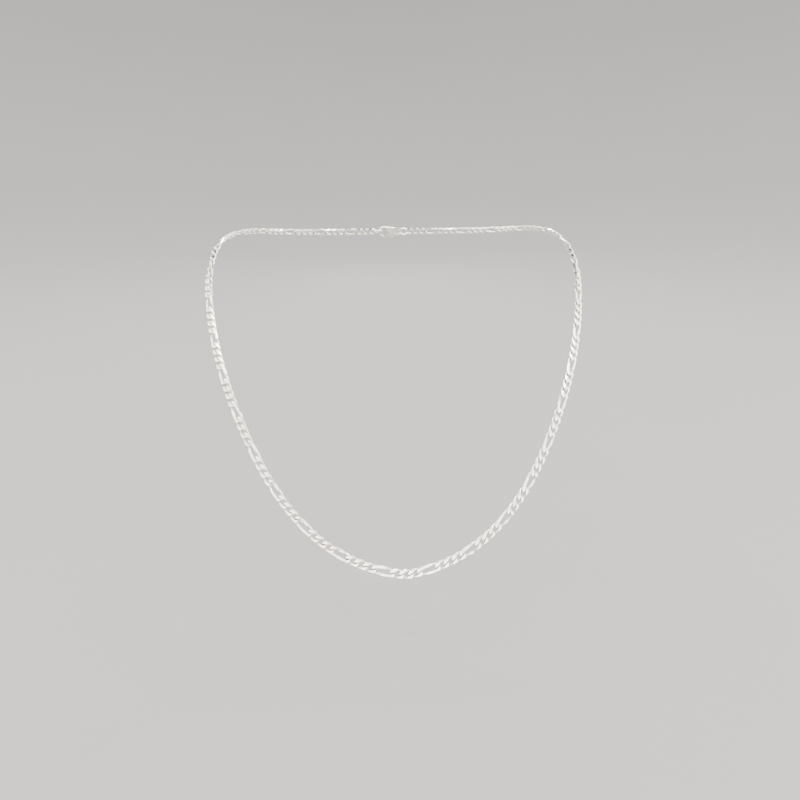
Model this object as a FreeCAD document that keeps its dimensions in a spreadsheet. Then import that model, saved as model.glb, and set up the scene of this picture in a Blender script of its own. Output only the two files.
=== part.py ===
import FreeCAD, Part

import math
import os

from FreeCAD import Placement, Rotation, Vector

# Flat Figaro chain necklace, 50 cm, closed at the nape by a lobster clasp and lying as it is worn.
# Millimetres. +Z is up, the wearer faces -Y and +X is to the right of someone facing the wearer.
# The origin is the middle of the neck opening, level with the nape.
#
# Every link is one wire bent to an oval, twisted so that its two ends lean opposite ways, and then
# ground on its faces and edges. The pattern repeats one long link and three short ones.

REPEATS_PER_SIDE = 16         # repeats on each side of the three short links at the front
SINGLE_REPEATS = 9            # repeats next to the front whose long and short links are nodes apart
SHORT_PER_REPEAT = 3
CLOSE = 1e-6                  # lengths that differ by less are the same
SOLVER_STEPS = 20             # steps of each search for a place along the route

SIZES = {
    # the links
    "link_pitch": (2.95, "short link, contact to contact"),
    "long_pitch": (5.90, "long link, contact to contact"),
    "chain_width": (3.15, "across the rails"),
    "pitch_share": (0.315, "thickest wire that the pitch has room for, as a share of it"),
    "width_share": (0.295, "thickest wire that the width has room for, as a share of it"),
    "wire": ("=min(pitch_share * link_pitch; width_share * chain_width)", "wire diameter of the links"),
    "play": (0.12, "slack between two pieces that hook into each other"),
    "end_lean": (44.0, "degrees that each end of a link leans out of its face"),
    "oval_power": (3.4, "short link's outline: 2 is an ellipse, more is squarer"),
    "long_power": (5.0, "the same of the long link's two ends"),
    "face_thickness": (1.50, "between the ground faces"),
    "rail_thickness": (0.70, "long link's rails after their hollow grinding"),
    "wheel_radius": (10.0, "wheel that hollows the long link's rails"),
    "bevel_angle": (55.0, "degrees from the face's normal to the bevels' normal"),
    "bevel_depth": (0.05, "taken off the wire by each bevel"),
    # how the necklace lies
    "neck_half_width": (68.0, "middle of the neck to the chain at the shoulder"),
    "front_reach": (72.0, "middle of the neck forward to the lowest link"),
    "back_reach": (52.5, "middle of the neck back to the clasp"),
    "front_drop": (100.0, "nape down to the lowest link, before the length is matched"),
    "chest_tilt": (32.0, "degrees that the links' faces look up at the front"),
    "shoulder_tilt": (62.0, "degrees that they look up on the shoulders"),
    "nape_tilt": (15.0, "degrees that they look up at the nape"),
    # the rings
    "ring_outer": (5.00, "outer diameter of both rings"),
    "ring_wire": (0.80, "wire diameter of both rings"),
    "ring_lean": (66.0, "degrees that a ring stands out of the chain's face"),
    "ring_cut": (1.5, "degrees of the saw cut in the jump ring"),
    # the clasp
    "clasp_reach": (9.10, "inside of the hook to inside of the eye"),
    "clasp_thickness": (2.10, "across the clasp's two faces"),
    "hook_radius": (1.75, "inside of the hook"),
    "hook_wall": (0.90, "hook, in the clasp's plane"),
    "eye_radius": (1.00, "hole of the eye"),
    "eye_wall": (0.80, "eye, in the clasp's plane"),
    "eye_thickness": (1.30, "eye, across the clasp's faces"),
    "edge_round": (0.35, "rounding of the clasp's edges"),
    "slot_width": (0.85, "slot between the clasp's cheeks"),
    "slot_floor": (0.90, "middle line of the clasp down to the slot's floor"),
    "relief_reach": ("=1.15 * (eye_radius + eye_wall)", "eye's centre to where the clasp thickens"),
    "cheek_gap": (0.59, "root of the jaw to the cheeks, along the clasp"),
    "mouth_sill": ("=0.09 * hook_radius", "middle line of the clasp up to the open mouth's foot"),
    "lever_thickness": (0.75, "lever inside the slot"),
    "jaw_thickness": (1.60, "lever where it closes the hook"),
    "jaw_tip": (80.0, "degrees round the hook from the eye's side to the jaw's tip, outside"),
    "jaw_seat": (92.0, "the same on the inside, where the jaw tucks under the nose"),
    "jaw_root": (45.0, "the same where the jaw thins to pass into the slot"),
    "pin_radius": (0.35, "rivet that the lever turns on"),
    "pin_play": (0.05, "radial play of the lever on the rivet"),
    "pin_head": (0.10, "how far a rivet head stands proud"),
    "head_radius": ("=1.5 * pin_radius", "rivet's heads"),
    "boss_radius": ("=2.2 * pin_radius", "lever round the rivet"),
    "pin_across": (0.60, "clasp's middle to the rivet, towards the eye"),
    "pin_up": (1.25, "clasp's middle line to the rivet"),
    "slot_end": ("=pin_across + 1.25 * eye_radius", "clasp's middle to the slot's end at the eye"),
    "slot_start": ("=1.6 * hook_radius - clasp_reach / 2", "clasp's middle to its end in the hook"),
    "spring_gauge": (0.16, "thickness of the leaf spring"),
    "spring_width": (0.70, "width of the leaf spring"),
    "spring_rise": (1.10, "slot's floor to the top of the squeezed leaf"),
}

doc = FreeCAD.newDocument("chain_necklace")
sheet = doc.addObject("Spreadsheet::Sheet", "Sizes")
for row, (alias, (value, meaning)) in enumerate(SIZES.items(), start=1):
    sheet.set(f"A{row}", alias)
    sheet.set(f"B{row}", str(value))
    sheet.set(f"C{row}", meaning)
    sheet.setAlias(f"B{row}", alias)
doc.recompute()


def size(alias):
    """A driving dimension, as the sheet holds it."""
    return float(getattr(sheet, alias))


def bind(thing, **expressions):
    """Tie an object's properties to the sheet. A bare word is a cell of the sheet."""
    for prop, expression in expressions.items():
        thing.setExpression(prop, expression)


def add(kind, name, **expressions):
    thing = doc.addObject(kind, name)
    bind(thing, **expressions)
    return thing


def solid_feature(name, shape, placement=None):
    """A Part::Feature that holds a shape made in code, with its placement set last."""
    thing = doc.addObject("Part::Feature", name)
    thing.Shape = shape
    if placement is not None:
        thing.Placement = placement
    return thing


# ---------------------------------------------------------------------------------------- links

def oval_point(turn, straight, half_length, half_width):
    """A point of a link's centre line. turn runs from a quarter turn up to a quarter turn down."""
    power = 2 / size("long_power" if straight else "oval_power")
    run = (half_length - straight / 2) * max(math.cos(turn), 0.0) ** power
    side = half_width * math.copysign(abs(math.sin(turn)) ** power, math.sin(turn))
    lean = -math.radians(size("end_lean")) * math.sin(math.pi / 2 * run / (half_length - straight / 2))
    return Vector(straight / 2 + run, side * math.cos(lean), side * math.sin(lean))


def tangent_arc(start, heading, end):
    """The arc that leaves start along heading and reaches end, or a line where it doesn't turn."""
    chord = end - start
    cosine = chord.dot(heading) / chord.Length
    if cosine > 1 - 1e-9:
        return Part.LineSegment(start, end).toShape()
    corner = start + heading * (chord.Length / 2 / cosine)
    middle = (start + end) * 0.5
    return Part.Arc(start, middle + (corner - middle) * (cosine / (1 + cosine)), end).toShape()


def two_arcs(start, heading, end, end_heading):
    """Two arcs that meet smoothly, from one point and direction to another."""
    chord = end - start
    a = 2 * (1 - heading.dot(end_heading))
    b = 2 * chord.dot(heading + end_heading)
    reach = (math.sqrt(b * b + 4 * a * chord.dot(chord)) - b) / (2 * a) if a > 1e-12 \
        else chord.dot(chord) / b
    meeting = (start + heading * reach + end - end_heading * reach) * 0.5
    onward = (meeting - start - heading * reach).normalize()
    return [tangent_arc(start, heading, meeting), tangent_arc(meeting, onward, end)]


def link_wire(pitch):
    """The solid wire ring of a link, before it is ground."""
    wire = size("wire")
    straight = pitch - size("link_pitch") if pitch > size("link_pitch") else 0.0
    half_length = (pitch + wire + size("play")) / 2
    half_width = (size("chain_width") - wire) / 2
    stations = 5                       # along half of the oval, from rail to rail
    fine = 400                         # steps that measure its length
    samples = [oval_point(math.pi / 2 - math.pi * i / fine, straight, half_length, half_width)
               for i in range(fine + 1)]
    travelled = [0.0]
    for here, there in zip(samples, samples[1:]):
        travelled.append(travelled[-1] + (there - here).Length)
    points, headings = [], []
    for station in range(stations):
        target = travelled[-1] * station / (stations - 1)
        i = min(range(fine + 1), key=lambda k: abs(travelled[k] - target))
        points.append(samples[i])
        headings.append((samples[min(i + 2, fine)] - samples[max(i - 2, 0)]).normalize())
    if straight:
        points[0], points[-1] = Vector(0, half_width, 0), Vector(0, -half_width, 0)
        headings[0], headings[-1] = Vector(1, 0, 0), Vector(-1, 0, 0)
    else:
        slope = half_width * math.radians(size("end_lean")) * math.pi / 2 / half_length
        headings[0] = Vector(1, 0, -slope).normalize()
        headings[-1] = Vector(-1, 0, -slope).normalize()
    edges = []
    for i in range(stations - 1):
        edges += two_arcs(points[i], headings[i], points[i + 1], headings[i + 1])
    section = Part.Wire([Part.Circle(points[0], headings[0], wire / 2).toShape()])
    half = Part.Wire(edges).makePipe(Part.Face(section))
    other = half.copy()
    other.rotate(Vector(0, 0, 0), Vector(0, 0, 1), 180)
    return half.fuse(other)


def ground_link(name, pitch_alias, hollowed=False):
    """A link: its wire ring, ground to two flat faces and four bevels along its edges."""
    ring = solid_feature(name + "_wire", link_wire(size(pitch_alias)))
    edge_reach = "((Sizes.chain_width - Sizes.wire) / 2 * sin(Sizes.bevel_angle)"
    edge_reach += " + Sizes.wire / 2 - Sizes.bevel_depth)"
    stones = [ring]
    for stone, lean, half_height in (("face", 0, "Sizes.face_thickness / 2"),
                                     ("bevel_up", 1, edge_reach),
                                     ("bevel_down", -1, edge_reach)):
        slab = add("Part::Box", f"{name}_{stone}",
                   Length=f"3 * Sizes.{pitch_alias}",
                   Width="4 * Sizes.chain_width",
                   Height=f"2 * {half_height}")
        doc.recompute()
        tilt = Rotation(Vector(1, 0, 0), lean * size("bevel_angle"))
        corner = Vector(slab.Length.Value, slab.Width.Value, slab.Height.Value) * -0.5
        slab.Placement = Placement(tilt.multVec(corner), tilt)
        stones.append(slab)
    link = doc.addObject("Part::MultiCommon", name)
    link.Shapes = stones
    doc.recompute()
    if hollowed:
        link = hollow_rails(name, link)
    return link.Shape.Solids[0]


def hollow_rails(name, link):
    """The link after a wheel has ground a shallow hollow along its rails, on both faces."""
    wheels = []
    for side in (1, -1):
        wheel = add("Part::Cylinder", name + ("_wheel_up" if side > 0 else "_wheel_down"),
                    Radius="Sizes.wheel_radius", Height="4 * Sizes.chain_width")
        doc.recompute()
        height = side * (wheel.Radius.Value + size("rail_thickness") / 2)
        wheel.Placement = Placement(Vector(0, wheel.Height.Value / 2, height),
                                    Rotation(Vector(1, 0, 0), 90))
        wheels.append(wheel)
    both = doc.addObject("Part::MultiFuse", name + "_wheels")
    both.Shapes = wheels
    hollow = doc.addObject("Part::Cut", name + "_hollowed")
    hollow.Base, hollow.Tool = link, both
    doc.recompute()
    return hollow


# ---------------------------------------------------------------------------------------- route

# Where the chain passes on the right, front to back: shares of the half width, of the reach
# forward (or, behind the neck, back) and of the drop.
ROUTE = {
    "lowest link": (0.00, -1.000, -1.000),
    "chest": (0.43, -0.905, -0.890),
    "below the collar bone": (0.79, -0.640, -0.570),
    "top of the chest": (0.97, -0.330, -0.305),
    "shoulder": (1.00, 0.100, -0.028),
    "behind the shoulder": (0.74, 0.730, 0.005),
    "nape": (0.00, 1.000, 0.000),
}
LEAST_HANG, MOST_HANG = 0.4, 2.5


def route_curve(hang):
    """The closed line that the chain lies on. hang scales how far the front hangs down."""
    right = []
    for across, along, down in ROUTE.values():
        reach = size("front_reach") * hang if along < 0 else size("back_reach")
        right.append(Vector(across * size("neck_half_width"), along * reach,
                            down * size("front_drop") * hang))
    left = [Vector(-p.x, p.y, p.z) for p in reversed(right[1:-1])]
    curve = Part.BSplineCurve()
    curve.interpolate(right + left, PeriodicFlag=True)
    return curve


def walk(curve, pitches):
    """The contact points between the links of the right side, from the front link back."""
    along = 0.0
    half_link = size("link_pitch") / 2
    for _ in range(SOLVER_STEPS):
        along += half_link - curve.value(along).x
    contacts = [curve.value(along)]
    for pitch in pitches:
        along += pitch
        for _ in range(SOLVER_STEPS):
            along += pitch - (curve.value(along) - contacts[-1]).Length
        contacts.append(curve.value(along))
    return contacts


def closed_contacts(pitches, half_gap):
    """The contacts with the front hanging just so far that the ends are the clasp's length apart."""
    low, high = LEAST_HANG, MOST_HANG
    for _ in range(2 * SOLVER_STEPS):
        hang = (low + high) / 2
        contacts = walk(route_curve(hang), pitches)
        if contacts[-1].x > half_gap:
            high = hang
        else:
            low = hang
    return contacts, hang


def outward(point):
    """The direction that the wearer's skin faces at a point of the route."""
    reach = size("front_reach") if point.y < 0 else size("back_reach")
    bearing = math.atan2(point.x / size("neck_half_width"), -point.y / reach)
    ahead = size("chest_tilt") if point.y < 0 else size("nape_tilt")
    tilt = math.radians(ahead * math.cos(bearing) ** 2
                        + size("shoulder_tilt") * math.sin(bearing) ** 2)
    return Vector(math.sin(bearing) * math.cos(tilt), -math.cos(bearing) * math.cos(tilt),
                  math.sin(tilt))


def lie(start, end):
    """The placement of a piece that reaches from start to end with its face outward."""
    middle = (start + end) * 0.5
    along = (end - start).normalize()
    face = outward(middle)
    face = (face - along * face.dot(along)).normalize()
    return Placement(middle, Rotation(along, face.cross(along), face, "XZY"))


def mirrored(point):
    return Vector(-point.x, point.y, point.z)


def placed(shape, placement):
    copy = shape.copy()
    copy.Placement = placement
    return copy


# ---------------------------------------------------------------------------------------- clasp

def rim_round(wall, thickness):
    """The rounding of a rim, kept small enough for its wall."""
    return min(size("edge_round"), 0.45 * min(wall, thickness / 2))


def rim_sag(hole, wall, thickness):
    """How far a ring's round inside keeps it off the middle of a wall, held by the wall's rims."""
    lean = math.radians(size("ring_lean"))
    rounding = rim_round(wall, thickness)
    rim = thickness / 2 / math.sin(lean) - rounding
    inside = size("ring_outer") / 2 - size("ring_wire") - rounding
    aside = (rim + rounding) * math.cos(lean)
    return inside - math.sqrt(inside ** 2 - rim ** 2) + hole - math.sqrt(hole ** 2 - aside ** 2)


def clasp_layout():
    """Places in the clasp's plane. X runs from the hook to the eye, Y to the side that opens."""
    half = (size("clasp_reach") + size("play")) / 2
    hook_seat = half + rim_sag(size("hook_radius"), size("hook_wall"), size("clasp_thickness"))
    eye_seat = half + rim_sag(size("eye_radius"), size("eye_wall"), size("eye_thickness"))
    return {
        "hook": Vector(size("hook_radius") - hook_seat, 0, 0),
        "eye": Vector(eye_seat - size("eye_radius"), 0, 0),
        "pin": Vector(size("pin_across"), size("pin_up"), 0),
        "hook_outer": size("hook_radius") + size("hook_wall"),
        "eye_outer": size("eye_radius") + size("eye_wall"),
    }


def round_spot(centre, radius, degrees):
    angle = math.radians(degrees)
    return centre + Vector(math.cos(angle), math.sin(angle), 0) * radius


def slab(outline, thickness):
    """A closed outline in the clasp's plane, made as thick as told, evenly to both sides."""
    face = Part.Face(outline)
    face.translate(Vector(0, 0, -thickness / 2))
    return face.extrude(Vector(0, 0, thickness))


def jaw_outline(at):
    """The jaw between the hook's two radii. Its tip slants, so that it swings clear of the nose."""
    hook, root, tip, seat = at["hook"], size("jaw_root"), size("jaw_tip"), size("jaw_seat")
    a, b, c = (round_spot(hook, at["hook_outer"], turn) for turn in (root, (root + tip) / 2, tip))
    d, e, f = (round_spot(hook, size("hook_radius"), turn)
               for turn in (seat, (root + seat) / 2, root))
    return Part.Wire([Part.Arc(a, b, c).toShape(), Part.LineSegment(c, d).toShape(),
                      Part.Arc(d, e, f).toShape(), Part.LineSegment(f, a).toShape()])


def mouth_outline(at):
    """What is open above the hook for the jaw, from the nose's slanted face to the cheeks."""
    outer = round_spot(at["hook"], at["hook_outer"], size("jaw_tip"))
    inner = round_spot(at["hook"], size("hook_radius"), size("jaw_seat"))
    up = (outer - inner).normalize()
    clear = Vector(-up.y, up.x, 0) * size("play")
    root = round_spot(at["hook"], at["hook_outer"], size("jaw_root"))
    cheek = root.x + size("cheek_gap")
    top = 2 * at["hook_outer"]
    lip = outer + up * (size("hook_wall") / 3) + clear
    return polygon([Vector(cheek, size("mouth_sill"), 0), Vector(cheek, top, 0),
                    Vector(lip.x, top, 0), lip, inner - up * (size("hook_radius") / 3) + clear])


def polyline(*points):
    return Part.makePolygon(list(points))


def polygon(points):
    return polyline(*points, points[0])


def clasp_blank(at):
    """The clasp's outside: the hook's circle and the eye's circle with straight flanks."""
    gap = at["eye"].x - at["hook"].x
    flank = math.degrees(math.acos((at["hook_outer"] - at["eye_outer"]) / gap))
    top_hook = round_spot(at["hook"], at["hook_outer"], flank)
    top_eye = round_spot(at["eye"], at["eye_outer"], flank)
    low_hook = Vector(top_hook.x, -top_hook.y, 0)
    low_eye = Vector(top_eye.x, -top_eye.y, 0)
    far_hook = round_spot(at["hook"], at["hook_outer"], 180)
    far_eye = round_spot(at["eye"], at["eye_outer"], 0)
    outline = Part.Wire([Part.Arc(top_hook, far_hook, low_hook).toShape(),
                         Part.LineSegment(low_hook, low_eye).toShape(),
                         Part.Arc(low_eye, far_eye, top_eye).toShape(),
                         Part.LineSegment(top_eye, top_hook).toShape()])
    return slab(outline, size("clasp_thickness"))


def clasp_cylinder(name, centre, radius_expression, height_expression):
    """A parametric cylinder through the clasp, centred on its middle plane."""
    cylinder = add("Part::Cylinder", name, Radius=radius_expression, Height=height_expression)
    doc.recompute()
    cylinder.Placement = Placement(centre - Vector(0, 0, cylinder.Height.Value / 2), Rotation())
    return cylinder


def rounded_rims(shape):
    """The rims to round: all on the thick faces, and the eye's hole on the thin ones."""
    half = size("clasp_thickness") / 2
    thick = rim_round(size("hook_wall"), size("clasp_thickness"))
    thin = rim_round(size("eye_wall"), size("eye_thickness"))
    for i, edge in enumerate(shape.Edges, start=1):
        heights = [abs(vertex.Z) for vertex in edge.Vertexes]
        if all(abs(height - half) < CLOSE for height in heights):
            yield i, thick
        elif (all(abs(height - size("eye_thickness") / 2) < CLOSE for height in heights)
              and isinstance(edge.Curve, Part.Circle)
              and abs(edge.Curve.Radius - size("eye_radius")) < CLOSE):
            yield i, thin


def make_clasp_body(at):
    blank = solid_feature("clasp_blank", clasp_blank(at))
    hook_hole = clasp_cylinder("hook_hole", at["hook"], "Sizes.hook_radius",
                               "2 * Sizes.clasp_thickness")
    eye_hole = clasp_cylinder("eye_hole", at["eye"], "Sizes.eye_radius",
                              "2 * Sizes.clasp_thickness")
    reliefs = []
    for side in (1, -1):
        relief = add("Part::Box", "eye_relief_up" if side > 0 else "eye_relief_down",
                     Length="4 * (Sizes.eye_radius + Sizes.eye_wall)",
                     Width="4 * (Sizes.eye_radius + Sizes.eye_wall)",
                     Height="(Sizes.clasp_thickness - Sizes.eye_thickness) / 2")
        doc.recompute()
        base = size("eye_thickness") / 2 if side > 0 else -size("clasp_thickness") / 2
        relief.Placement = Placement(Vector(at["eye"].x - size("relief_reach"),
                                            -relief.Width.Value / 2, base), Rotation())
        reliefs.append(relief)
    holes = doc.addObject("Part::MultiFuse", "clasp_holes")
    holes.Shapes = [hook_hole, eye_hole] + reliefs
    drilled = doc.addObject("Part::Cut", "clasp_drilled")
    drilled.Base, drilled.Tool = blank, holes
    doc.recompute()
    softened = doc.addObject("Part::Fillet", "clasp_softened")
    softened.Base = drilled
    softened.Edges = [(i, radius, radius) for i, radius in rounded_rims(drilled.Shape)]
    mouth = solid_feature("clasp_mouth", slab(mouth_outline(at), 2 * size("clasp_thickness")))
    slot = add("Part::Box", "clasp_slot",
               Length="Sizes.slot_end - Sizes.slot_start",
               Width="Sizes.slot_floor + 2 * (Sizes.hook_radius + Sizes.hook_wall)",
               Height="Sizes.slot_width")
    doc.recompute()
    slot.Placement = Placement(Vector(size("slot_start"), -size("slot_floor"),
                                      -size("slot_width") / 2), Rotation())
    bore = clasp_cylinder("pin_bore", at["pin"], "Sizes.pin_radius", "2 * Sizes.clasp_thickness")
    tools = doc.addObject("Part::MultiFuse", "clasp_tools")
    tools.Shapes = [mouth, slot, bore]
    body = doc.addObject("Part::Cut", "clasp_body_shape")
    body.Base, body.Tool = softened, tools
    doc.recompute()
    return body.Shape


def make_lever(at):
    """The jaw that closes the hook, its web in the slot, the boss on the rivet and the tab."""
    pin, hook, outer = at["pin"], at["hook"], at["hook_outer"]
    root = size("jaw_root")

    def by_boss(across, up):
        """A place told in boss radii from the rivet."""
        return pin + Vector(across, up, 0) * size("boss_radius")

    boss = clasp_cylinder("lever_boss", pin, "Sizes.boss_radius", "Sizes.lever_thickness")
    jaw = solid_feature("lever_jaw", slab(jaw_outline(at), size("jaw_thickness")))
    jaw_inside = round_spot(hook, size("hook_radius") * 1.04, root + 4)
    throat = round_spot(hook, size("hook_radius") * 1.10, root - 14)
    below_boss, behind_boss, above_boss = by_boss(-0.2, -0.98), by_boss(0.75, 0.6), by_boss(-0.1, 1.5)
    shoulder, jaw_outside = round_spot(hook, outer, root - 5), round_spot(hook, outer, root + 4)
    web = solid_feature("lever_web", slab(polygon([
        jaw_inside, throat, below_boss, behind_boss, above_boss, shoulder, jaw_outside,
    ]), size("lever_thickness")))
    tab_foot, tab_heel = by_boss(-1.10, 0.9), by_boss(0.75, 0.5)
    tab_back, tab_top, tab_front = by_boss(0.55, 2.35), by_boss(-0.15, 2.6), by_boss(-0.85, 1.9)
    thumb = solid_feature("lever_thumb", slab(polygon([
        tab_foot, tab_heel, tab_back, tab_top, tab_front]), size("lever_thickness")))
    whole = doc.addObject("Part::MultiFuse", "lever_whole")
    whole.Shapes = [boss, jaw, web, thumb]
    bore = clasp_cylinder("lever_bore", pin, "Sizes.pin_radius + Sizes.pin_play",
                          "2 * Sizes.clasp_thickness")
    lever = doc.addObject("Part::Cut", "lever_shape")
    lever.Base, lever.Tool = whole, bore
    doc.recompute()
    return lever.Shape


def make_pin(at):
    shank = clasp_cylinder("pin_shank", at["pin"], "Sizes.pin_radius",
                           "Sizes.clasp_thickness + 2 * Sizes.pin_head")
    heads = [shank]
    for side in (1, -1):
        head = add("Part::Cylinder", "pin_head_up" if side > 0 else "pin_head_down",
                   Radius="Sizes.head_radius", Height="Sizes.pin_head")
        doc.recompute()
        base = size("clasp_thickness") / 2 if side > 0 else \
            -size("clasp_thickness") / 2 - size("pin_head")
        head.Placement = Placement(at["pin"] + Vector(0, 0, base), Rotation())
        heads.append(head)
    pin = doc.addObject("Part::MultiFuse", "pin_shape")
    pin.Shapes = heads
    doc.recompute()
    return pin.Shape


def make_spring(at):
    """A leaf that lies on the slot's floor and curls up under the lever, drawn as when squeezed."""
    gauge, floor = size("spring_gauge"), -size("slot_floor")
    radius = size("spring_rise") / 2
    bend = at["pin"].x + 1.1 * size("eye_radius") - radius
    free = at["pin"].x - 0.75 * size("hook_radius")
    middle = floor + radius
    outline = Part.Wire([
        polyline(Vector(free, floor, 0), Vector(bend, floor, 0)),
        Part.Arc(Vector(bend, floor, 0), Vector(bend + radius, middle, 0),
                 Vector(bend, middle + radius, 0)).toShape(),
        polyline(Vector(bend, middle + radius, 0), Vector(free, middle + radius, 0),
                 Vector(free, middle + radius - gauge, 0), Vector(bend, middle + radius - gauge, 0)),
        Part.Arc(Vector(bend, middle + radius - gauge, 0), Vector(bend + radius - gauge, middle, 0),
                 Vector(bend, floor + gauge, 0)).toShape(),
        polyline(Vector(bend, floor + gauge, 0), Vector(free, floor + gauge, 0),
                 Vector(free, floor, 0))])
    return slab(outline, size("spring_width"))


def make_ring(name, cut):
    """A round ring about its own Z. A jump ring has a saw cut, a soldered one is whole."""
    ring = add("Part::Torus", name,
               Radius1="(Sizes.ring_outer - Sizes.ring_wire) / 2",
               Radius2="Sizes.ring_wire / 2",
               Angle3="360 - Sizes.ring_cut" if cut else "360")
    doc.recompute()
    return ring.Shape


# ---------------------------------------------------------------------------------------- build

nodes = {}


def node(name, shape, placement=None):
    """One sub-part: its shape under its own label, which names its file."""
    nodes[name] = solid_feature(name, shape, placement)
    nodes[name].Label = name


short_link = ground_link("short_link", "link_pitch")
long_link = ground_link("long_link", "long_pitch", hollowed=True)

# One side: two short links finish the front's three, and then come the repeats.
repeat = [size("long_pitch")] + [size("link_pitch")] * SHORT_PER_REPEAT
pitches = [size("link_pitch")] + repeat * REPEATS_PER_SIDE
ring_pitch = size("ring_outer") - 2 * size("ring_wire") - size("play")
half_gap = size("clasp_reach") / 2 + ring_pitch
contacts, hang = closed_contacts(pitches, half_gap)

front = [placed(short_link, lie(mirrored(contacts[0]), contacts[0]))]
for flip in (lambda p: p, mirrored):
    front.append(placed(short_link, lie(flip(contacts[0]), flip(contacts[1]))))
node("front_short_links", Part.Compound(front))

for side, flip in (("right", lambda p: p), ("left", mirrored)):
    for number in range(1, REPEATS_PER_SIDE + 1):
        first = 1 + (number - 1) * (1 + SHORT_PER_REPEAT)
        links = []
        for i in range(1 + SHORT_PER_REPEAT):
            template = long_link if i == 0 else short_link
            spot = lie(flip(contacts[first + i]), flip(contacts[first + i + 1]))
            links.append(placed(template, spot))
        if number <= SINGLE_REPEATS:
            node(f"{side}_long_link_{number:02d}", links[0])
            node(f"{side}_short_links_{number:02d}", Part.Compound(links[1:]))
        else:
            node(f"{side}_back_links_{number:02d}", Part.Compound(links))

# The rings and the clasp close the chain at the nape.
right_end, left_end = contacts[-1], mirrored(contacts[-1])
inward = (left_end - right_end).normalize()
ring_step = inward * ring_pitch
lean = Rotation(Vector(1, 0, 0), size("ring_lean"))
for name, start, step, cut in (("clasp_jump_ring", right_end, ring_step, True),
                               ("end_ring", left_end, ring_step * -1, False)):
    frame = lie(start, start + step)
    node(name, make_ring(name + "_torus", cut),
         Placement(frame.Base, frame.Rotation.multiply(lean)))

clasp_frame = lie(left_end - ring_step, right_end + ring_step)
layout = clasp_layout()
node("clasp_body", make_clasp_body(layout), clasp_frame)
node("clasp_lever", make_lever(layout), clasp_frame)
node("clasp_pin", make_pin(layout), clasp_frame)
node("clasp_spring", make_spring(layout), clasp_frame)
doc.recompute()

# ---------------------------------------------------------------------------------------- check

for thing in doc.Objects:
    if "Invalid" in thing.State or "Error" in thing.State:
        raise RuntimeError(f"{thing.Name} did not build: {thing.State}")
os.makedirs("parts", exist_ok=True)
for name, thing in nodes.items():
    if thing.Shape.isNull() or not thing.Shape.isValid() or not thing.Shape.Solids:
        raise RuntimeError(f"{name} is not a valid solid")
    thing.Shape.exportStep(f"parts/{name}.step")

volume = sum(thing.Shape.Volume for thing in nodes.values())
links_per_side = 1 + (1 + SHORT_PER_REPEAT) * REPEATS_PER_SIDE
print(f"{len(nodes)} nodes, {2 * links_per_side + 1} links, {volume:.1f} mm3 of metal")
print(f"chain with clasp {2 * (sum(pitches) + size('link_pitch') / 2 + half_gap):.1f} mm long,"
      f" front hangs at {hang:.3f} of the drawn drop")
print("lowest link", [round(v, 2) for v in contacts[0]], "last contact",
      [round(v, 2) for v in contacts[-1]])
for number in range(REPEATS_PER_SIDE + 1):
    inner = contacts[1 + number * (1 + SHORT_PER_REPEAT)]
    print(f"contact before repeat {number + 1}: x {inner.x:.4f} y {inner.y:.4f} z {inner.z:.4f}")
lever_axis = clasp_frame.Rotation.multVec(Vector(0, 0, 1))
lever_point = clasp_frame.multVec(layout["pin"])
print("lever axis", [round(v, 5) for v in lever_axis], "through", [round(v, 4) for v in lever_point])
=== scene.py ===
import math

import bpy
from mathutils import Matrix, Vector

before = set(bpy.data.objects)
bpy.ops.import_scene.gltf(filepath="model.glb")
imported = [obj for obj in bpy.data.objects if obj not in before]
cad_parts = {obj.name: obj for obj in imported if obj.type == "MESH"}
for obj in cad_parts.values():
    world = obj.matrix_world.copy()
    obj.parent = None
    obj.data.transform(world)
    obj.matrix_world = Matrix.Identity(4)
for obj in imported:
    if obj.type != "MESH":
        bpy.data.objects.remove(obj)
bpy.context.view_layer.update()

# Metres. +Z is up, the wearer faces -Y and the origin is the middle of the neck opening.

# ------------------------------------------------------------------ camera
CAMERA_PLACE = Vector((-0.0066, -0.1962, 0.0028))
CAMERA_YAW = math.radians(2.39)         # towards +X
CAMERA_DOWN = math.radians(20.0)
CAMERA_ROLL = math.radians(-0.54)
CAMERA_LENS = 21.6                      # millimetres, as the sensor's width
CAMERA_SENSOR = 36.0
CAMERA_CLIP = (0.01, 50.0)


def make_camera():
    forward = Vector((math.sin(CAMERA_YAW) * math.cos(CAMERA_DOWN),
                      math.cos(CAMERA_YAW) * math.cos(CAMERA_DOWN), -math.sin(CAMERA_DOWN)))
    level = Vector((math.cos(CAMERA_YAW), -math.sin(CAMERA_YAW), 0))
    lift = level.cross(forward)
    right = level * math.cos(CAMERA_ROLL) + lift * math.sin(CAMERA_ROLL)
    up = lift * math.cos(CAMERA_ROLL) - level * math.sin(CAMERA_ROLL)
    data = bpy.data.cameras.new("camera")
    data.lens = CAMERA_LENS
    data.sensor_width = CAMERA_SENSOR
    data.clip_start, data.clip_end = CAMERA_CLIP
    camera = link_in(bpy.data.objects.new("camera", data))
    turn = Matrix((right, up, -forward)).transposed().to_4x4()
    camera.matrix_world = Matrix.Translation(CAMERA_PLACE) @ turn
    bpy.context.scene.camera = camera


def link_in(thing):
    bpy.context.collection.objects.link(thing)
    return thing


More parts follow.
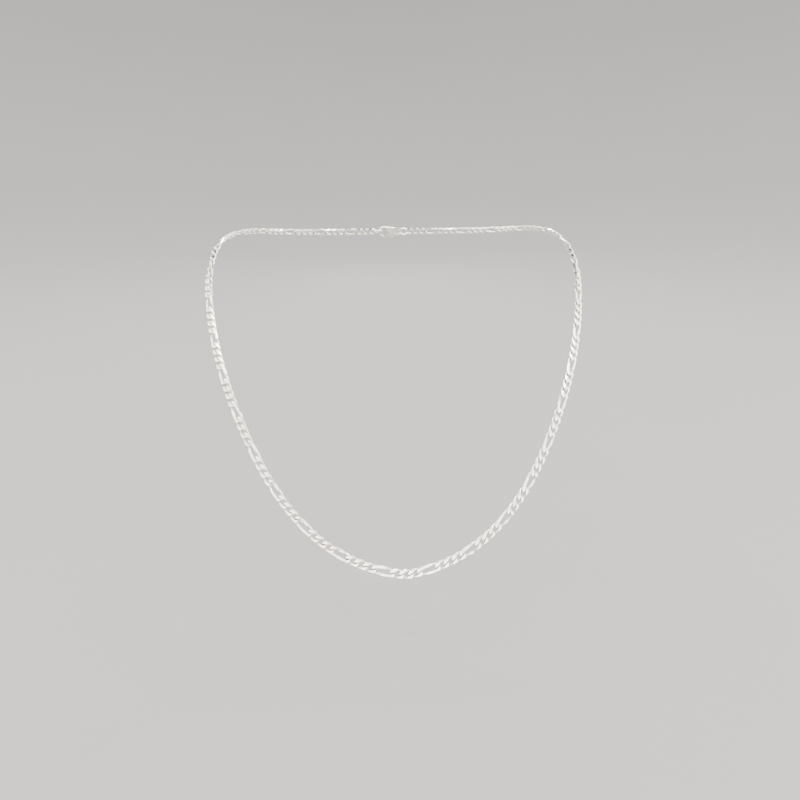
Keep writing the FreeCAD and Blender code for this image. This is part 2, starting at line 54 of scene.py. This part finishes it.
# ------------------------------------------------------------------ materials
class Shader:
    """A small wrapper that adds and joins shader nodes."""

    def __init__(self, name):
        self.material = bpy.data.materials.new(name)
        self.material.use_nodes = True
        self.tree = self.material.node_tree
        self.tree.nodes.clear()
        self.output = self.add("ShaderNodeOutputMaterial")
        self.surface = self.add("ShaderNodeBsdfPrincipled")
        self.join(self.surface, "BSDF", self.output, "Surface")

    def add(self, kind, **values):
        """A new node. A value is the node's own setting if it has one so named, or else a socket's."""
        node = self.tree.nodes.new(kind)
        for key, value in values.items():
            if hasattr(node, key):
                setattr(node, key, value)
            else:
                node.inputs[key.replace("_", " ")].default_value = value
        return node

    def join(self, source, out, target, into):
        self.tree.links.new(source.outputs[out], target.inputs[into])

    def ramp(self, source, out, stops):
        """A colour ramp through (place, colour) stops."""
        node = self.add("ShaderNodeValToRGB")
        for element, (place, colour) in zip(node.color_ramp.elements, stops):
            element.position = place
            element.color = (*colour, 1)
        self.join(source, out, node, "Fac")
        return node


def noise_of(shader, scale, stretch=(1, 1, 1), detail=3.0, roughness=0.5):
    """Noise in the row frame, in features per metre, drawn out along an axis by stretch."""
    place = shader.add("ShaderNodeTexCoord")
    mapping = shader.add("ShaderNodeMapping", Scale=stretch)
    shader.join(place, "Object", mapping, "Vector")
    noise = shader.add("ShaderNodeTexNoise", Scale=scale, Detail=detail, Roughness=roughness)
    shader.join(mapping, "Vector", noise, "Vector")
    return noise


WHITE = (1.0, 1.0, 1.0)
TINT_SCALE = 260.0                      # tint, wear and scratches: features per metre
WEAR_SCALE = 900.0
SCRATCH_SCALE = 2600.0
TARNISH = (0.985, 0.965, 0.93)          # what the metal's colour is multiplied by where it is dullest
# Painted shade: how far the darkening between pieces reaches, in metres.
PAINTED_SHADE_REACH = 0.0007
SCRATCH_DEPTH = 0.00002
SCRATCH_STRENGTH = 0.12
ALONG_X, ALONG_Y = (0.12, 1.0, 1.0), (1.0, 0.12, 1.0)


def metal_colour(s, bright, painted_shade_colour):
    """The metal's own colour, a little uneven, with a painted shade that darkens it where pieces meet.
    """
    tint = noise_of(s, TINT_SCALE, detail=2.0)
    tarnished = tuple(part * share for part, share in zip(bright, TARNISH))
    colour = s.ramp(tint, "Fac", ((0.30, bright), (0.72, tarnished)))
    # Painted shade: ambient occlusion darkens the colour towards the shade colour where pieces meet
    # and in hollows.
    painted_shade_ao = s.add("ShaderNodeAmbientOcclusion", samples=8)
    painted_shade_ao.inputs["Distance"].default_value = PAINTED_SHADE_REACH
    shade = s.ramp(painted_shade_ao, "AO", ((0.10, painted_shade_colour), (0.62, WHITE)))
    mix = s.add("ShaderNodeMix", data_type="RGBA", blend_type="MULTIPLY")
    factor, first, second, result = 0, 6, 7, 2          # the sockets that a colour mix uses
    mix.inputs[factor].default_value = 1.0
    s.join(colour, "Color", mix, first)
    s.join(shade, "Color", mix, second)
    s.join(mix, result, s.surface, "Base Color")


def metal_wear(s, rough_low, rough_high):
    """Roughness that changes from place to place."""
    wear = noise_of(s, WEAR_SCALE, detail=5.0, roughness=0.65)
    rough = s.add("ShaderNodeMapRange")
    rough.inputs["From Min"].default_value = 0.30
    rough.inputs["From Max"].default_value = 0.75
    rough.inputs["To Min"].default_value = rough_low
    rough.inputs["To Max"].default_value = rough_high
    s.join(wear, "Fac", rough, "Value")
    s.join(rough, "Result", s.surface, "Roughness")


def metal_scratches(s, amount):
    """Fine scratches in two directions."""
    lines = noise_of(s, SCRATCH_SCALE, stretch=ALONG_Y, detail=4.0, roughness=0.7)
    cross = noise_of(s, SCRATCH_SCALE, stretch=ALONG_X, detail=4.0, roughness=0.7)
    both = s.add("ShaderNodeMath", operation="ADD")
    s.join(lines, "Fac", both, 0)
    s.join(cross, "Fac", both, 1)
    bump = s.add("ShaderNodeBump")
    bump.inputs["Strength"].default_value = SCRATCH_STRENGTH * amount
    bump.inputs["Distance"].default_value = SCRATCH_DEPTH
    s.join(both, "Value", bump, "Height")
    s.join(bump, "Normal", s.surface, "Normal")


def metal(name, bright, painted_shade_colour, roughness, scratches=1.0):
    """Polished metal. The second colour is a painted shade that multiplies its colour deep between
    pieces.
    """
    s = Shader(name)
    s.surface.inputs["Metallic"].default_value = 1.0
    metal_colour(s, bright, painted_shade_colour)
    metal_wear(s, *roughness)
    metal_scratches(s, scratches)
    return s.material


def paper(name, colour):
    """Matt studio paper, a little uneven."""
    s = Shader(name)
    tone = noise_of(s, 9.0, detail=2.0)
    shade = s.ramp(tone, "Fac", ((0.3, colour), (0.7, tuple(part * 0.985 for part in colour))))
    s.join(shade, "Color", s.surface, "Base Color")
    s.surface.inputs["Roughness"].default_value = 0.85
    return s.material


def paint_necklace():
    """Each CAD node gets its metal: the links, the clasp with its rings, and the spring."""
    # The second colour of each metal is its painted shade between pieces.
    link_silver = metal("link_silver", (0.965, 0.940, 0.900), (0.12, 0.11, 0.10), (0.10, 0.28))
    clasp_silver = metal("clasp_silver", (0.955, 0.930, 0.890), (0.16, 0.15, 0.14), (0.09, 0.26), 1.4)
    spring_steel = metal("spring_steel", (0.62, 0.62, 0.63), (0.3, 0.3, 0.3), (0.25, 0.40), 2.0)
    for name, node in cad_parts.items():
        if name == "clasp_spring":
            material = spring_steel
        elif name.startswith("clasp") or name == "end_ring":
            material = clasp_silver
        else:
            material = link_silver
        node.data.materials.clear()
        node.data.materials.append(material)


# ------------------------------------------------------------------ floor
FLOOR_Z = -0.135
FLAT_RADIUS = 0.30                      # where the floor starts to curve up
CURVE_RADIUS = 1.20
CURVE_STEPS = 16
WALL_TOP = 1.5
BOWL_STEPS = 96                         # round the bowl
PAPER_COLOUR = (0.27, 0.266, 0.26)


def bowl_profile():
    """The floor's section as (radius, height), from its middle out and up."""
    yield 0.0, FLOOR_Z
    yield FLAT_RADIUS, FLOOR_Z
    for step in range(1, CURVE_STEPS + 1):
        turn = math.pi / 2 * step / CURVE_STEPS
        yield (FLAT_RADIUS + CURVE_RADIUS * math.sin(turn),
               FLOOR_Z + CURVE_RADIUS * (1 - math.cos(turn)))
    yield FLAT_RADIUS + CURVE_RADIUS, WALL_TOP


def make_floor():
    """A pale floor that curves up into a round wall, so that it has no edge from any side."""
    profile = list(bowl_profile())
    points, faces = [(0.0, 0.0, FLOOR_Z)], []
    for radius, height in profile[1:]:
        for step in range(BOWL_STEPS):
            turn = 2 * math.pi * step / BOWL_STEPS
            points.append((radius * math.cos(turn), radius * math.sin(turn), height))
    for step in range(BOWL_STEPS):
        after = (step + 1) % BOWL_STEPS
        faces.append((0, 1 + step, 1 + after))
        for row in range(len(profile) - 2):
            low, high = 1 + row * BOWL_STEPS, 1 + (row + 1) * BOWL_STEPS
            faces.append((low + step, high + step, high + after, low + after))
    mesh = bpy.data.meshes.new("floor")
    mesh.from_pydata(points, [], faces)
    mesh.polygons.foreach_set("use_smooth", [True] * len(mesh.polygons))
    mesh.materials.append(paper("floor_paper", PAPER_COLOUR))
    link_in(bpy.data.objects.new("floor", mesh))


# ------------------------------------------------------------------ lamps
CENTRE = Vector((0.0, -0.01, -0.05))    # middle of the necklace, which most lamps face
WARM, NEUTRAL = (1.0, 0.90, 0.70), (1.0, 0.98, 0.95)
COOL, ROSE = (0.80, 0.88, 1.0), (1.0, 0.80, 0.74)

# Softboxes where the links' ground faces look: azimuth and elevation in degrees, radiance, colour.
RING_LAMPS = ((-106, 24, 4.4, WARM), (-84, 27, 4.6, WARM), (-62, 21, 4.8, WARM),
              (-40, 12, 5.0, COOL), (-19, 14, 5.0, ROSE), (1, 21, 5.2, NEUTRAL),
              (21, 14, 5.0, ROSE), (42, 11, 5.0, COOL), (63, 19, 4.8, NEUTRAL),
              (84, 25, 4.6, WARM), (106, 23, 4.4, WARM), (150, 24, 3.6, NEUTRAL),
              (-150, 24, 3.6, NEUTRAL), (180, 15, 3.6, NEUTRAL))
RING_DISTANCE, RING_WIDE, RING_HIGH = 0.70, 0.25, 0.24

# Softboxes above them, for the links' round upper sides.
HIGH_LAMPS, HIGH_ELEVATION, HIGH_DISTANCE = 10, 47, 0.75
HIGH_WIDE, HIGH_TALL, HIGH_RADIANCE = 0.32, 0.26, 3.2

# Low strips in front, for their round lower sides, by azimuth.
LOW_LAMPS = (-60, -30, 0, 30, 60)
LOW_ELEVATION, LOW_DISTANCE = -1.5, 0.50
LOW_WIDE, LOW_HIGH, LOW_RADIANCE = 0.22, 0.05, 3.4

# Small strong lamps that make the sparkles, by azimuth and elevation.
SPOT_LAMPS = ((-40, 34), (6, 28), (36, 40), (80, 30), (170, 45))
SPOT_DISTANCE, SPOT_SIZE, SPOT_RADIANCE, SPOT_COLOUR = 0.80, 0.035, 260.0, (1.0, 0.96, 0.90)

# Softboxes over the necklace that look outward, at the wall.
WALL_LAMPS, WALL_RADIANCE = 10, 18.0
WALL_LAMP_RADIUS, WALL_LAMP_Z, WALL_AIM_RADIUS = 0.45, 0.95, 1.5
WALL_LAMP_WIDE, WALL_LAMP_HIGH = 0.45, 0.30

WORLD_COLOUR, WORLD_STRENGTH = (0.93, 0.95, 1.0, 1), 0.06


def from_centre(azimuth, elevation, distance):
    """A place seen from the necklace's middle. Azimuth 0 is in front of the wearer, 90 is +X."""
    a, e = math.radians(azimuth), math.radians(elevation)
    return CENTRE + Vector((math.sin(a) * math.cos(e), -math.cos(a) * math.cos(e),
                            math.sin(e))) * distance


def softbox(name, place, wide, high, radiance, colour=WHITE, aim=CENTRE):
    """A lamp that faces its aim and isn't seen itself."""
    data = bpy.data.lights.new(name, "AREA")
    data.shape = "RECTANGLE"
    data.size, data.size_y = wide, high
    data.energy = radiance * math.pi * wide * high
    data.color = colour
    lamp = link_in(bpy.data.objects.new(name, data))
    turn = (aim - place).to_track_quat("-Z", "Y").to_matrix().to_4x4()
    lamp.matrix_world = Matrix.Translation(place) @ turn
    lamp.visible_camera = False


def wall_lamps():
    """Light for the wall, even all round."""
    for number in range(WALL_LAMPS):
        turn = 2 * math.pi * number / WALL_LAMPS
        outward = Vector((math.cos(turn), math.sin(turn), 0))
        place = outward * WALL_LAMP_RADIUS + Vector((0, 0, WALL_LAMP_Z))
        softbox(f"wall_lamp_{number}", place, WALL_LAMP_WIDE, WALL_LAMP_HIGH, WALL_RADIANCE,
                aim=outward * WALL_AIM_RADIUS)


def necklace_lamps():
    """Light for the necklace: the ring, the high and the low softboxes, and the sparkles."""
    for number, (azimuth, elevation, radiance, colour) in enumerate(RING_LAMPS):
        softbox(f"ring_lamp_{number}", from_centre(azimuth, elevation, RING_DISTANCE),
                RING_WIDE, RING_HIGH, radiance, colour)
    for number in range(HIGH_LAMPS):
        place = from_centre(360 * number / HIGH_LAMPS, HIGH_ELEVATION, HIGH_DISTANCE)
        softbox(f"high_lamp_{number}", place, HIGH_WIDE, HIGH_TALL, HIGH_RADIANCE)
    for number, azimuth in enumerate(LOW_LAMPS):
        softbox(f"low_lamp_{number}", from_centre(azimuth, LOW_ELEVATION, LOW_DISTANCE),
                LOW_WIDE, LOW_HIGH, LOW_RADIANCE)
    for number, (azimuth, elevation) in enumerate(SPOT_LAMPS):
        softbox(f"spot_lamp_{number}", from_centre(azimuth, elevation, SPOT_DISTANCE),
                SPOT_SIZE, SPOT_SIZE, SPOT_RADIANCE, SPOT_COLOUR)


def make_world():
    """A faint even light from the room."""
    world = bpy.data.worlds.new("studio")
    world.use_nodes = True
    background = world.node_tree.nodes["Background"]
    background.inputs["Color"].default_value = WORLD_COLOUR
    background.inputs["Strength"].default_value = WORLD_STRENGTH
    bpy.context.scene.world = world


# ------------------------------------------------------------------ scene
paint_necklace()
make_camera()
make_floor()
wall_lamps()
necklace_lamps()
make_world()
